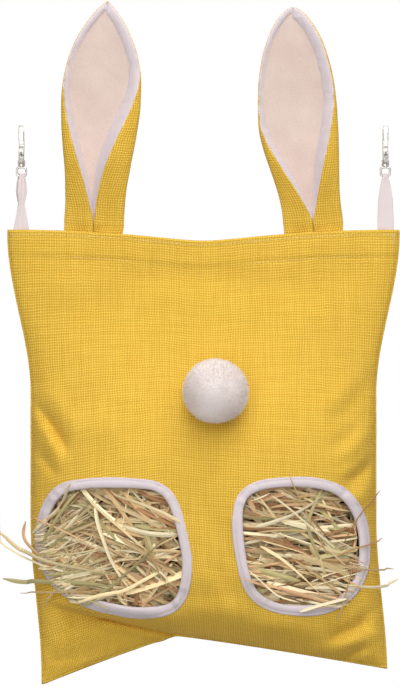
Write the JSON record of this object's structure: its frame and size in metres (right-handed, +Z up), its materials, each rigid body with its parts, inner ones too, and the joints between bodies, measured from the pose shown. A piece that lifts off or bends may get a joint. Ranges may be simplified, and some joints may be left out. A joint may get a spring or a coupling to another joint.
{
  "type": "hanging hay feeder bag",
  "caption": "Soft hanging hay feeder bag for small animals: pillow-shaped linen bag with bound front windows, ears, a pompom tail and swivel snap hooks.",
  "frame": {"origin": "the middle of the straight bar that both snap hooks hang from, halfway between the hooks", "axes": "+Z up, the front with the windows faces -Y, +X to the right seen from the front, along the hanging bar"},
  "size_m": [0.304, 0.1251, 0.528],
  "materials": {
    "linen": "coarse woven linen",
    "tape": "plain woven bias tape",
    "pompom": "dense cut fibre",
    "thread": "sewing thread",
    "hay": "dried grass stalks",
    "ribbon": "satin ribbon",
    "lining": "short brushed plush",
    "plated_metal": "nickel plated, polished",
    "pin_metal": "riveted steel",
    "spring_steel": "bright drawn wire"
  },
  "bodies": {
    "bag": {"front_panel": "linen", "back_panel": "linen", "front_facing": "linen", "back_facing": "linen", "left_window_binding": "tape", "right_window_binding": "tape", "tail_pompom": "pompom", "tail_tie": "thread", "hay_fill": "hay", "left_ear_tab": "linen", "right_ear_tab": "linen", "left_strap_tail": "ribbon", "right_strap_tail": "ribbon"},
    "left_ear": {"left_ear_back": "linen", "left_ear_lining": "lining"},
    "left_strap": {"left_strap_loop": "ribbon"},
    "left_eye": {"left_swivel_eye": "plated_metal"},
    "left_hook": {"left_hook_body": "plated_metal", "left_gate_pin": "pin_metal", "left_gate_spring": "spring_steel"},
    "left_clip_gate": {"left_gate": "plated_metal"},
    "right_ear": {"right_ear_back": "linen", "right_ear_lining": "lining"},
    "right_strap": {"right_strap_loop": "ribbon"},
    "right_eye": {"right_swivel_eye": "plated_metal"},
    "right_hook": {"right_hook_body": "plated_metal", "right_gate_pin": "pin_metal", "right_gate_spring": "spring_steel"},
    "right_clip_gate": {"right_gate": "plated_metal"}
  },
  "joints": [
    {"name": "left_ear_flop", "type": "hinge", "parent": "bag", "child": "left_ear", "pos_m": [-0.085, -0.00971, -0.07356], "axis": [0.9983, 0, -0.0586], "range_deg": [-80, 80]},
    {"name": "left_strap_bend", "type": "hinge", "parent": "bag", "child": "left_strap", "pos_m": [-0.141, -0.00503, -0.073], "axis": [1, 0, 0], "range_deg": [-75, 90]},
    {"name": "left_eye_swing", "type": "hinge", "parent": "left_strap", "child": "left_eye", "pos_m": [-0.141, 0, -0.0325], "axis": [1, 0, 0], "range_deg": [-60, 60]},
    {"name": "left_hook_swivel", "type": "hinge", "parent": "left_eye", "child": "left_hook", "pos_m": [-0.141, 0, -0.0225], "axis": [0, 0, 1], "continuous": true},
    {"name": "left_gate_open", "type": "hinge", "parent": "left_hook", "child": "left_clip_gate", "pos_m": [-0.141, -0.0055, -0.0155], "axis": [1, 0, 0], "range_deg": [-35, 0], "stiffness_Nm_per_rad": 0.004, "springref_deg": 28.65},
    {"name": "right_ear_flop", "type": "hinge", "parent": "bag", "child": "right_ear", "pos_m": [0.085, -0.00971, -0.07356], "axis": [0.9983, 0, 0.0586], "range_deg": [-80, 80]},
    {"name": "right_strap_bend", "type": "hinge", "parent": "bag", "child": "right_strap", "pos_m": [0.141, -0.00503, -0.073], "axis": [1, 0, 0], "range_deg": [-75, 90]},
    {"name": "right_eye_swing", "type": "hinge", "parent": "right_strap", "child": "right_eye", "pos_m": [0.141, 0, -0.0325], "axis": [1, 0, 0], "range_deg": [-60, 60]},
    {"name": "right_hook_swivel", "type": "hinge", "parent": "right_eye", "child": "right_hook", "pos_m": [0.141, 0, -0.0225], "axis": [0, 0, 1], "continuous": true},
    {"name": "right_gate_open", "type": "hinge", "parent": "right_hook", "child": "right_clip_gate", "pos_m": [0.141, -0.0055, -0.0155], "axis": [1, 0, 0], "range_deg": [-35, 0], "stiffness_Nm_per_rad": 0.004, "springref_deg": 28.65}
  ]
}
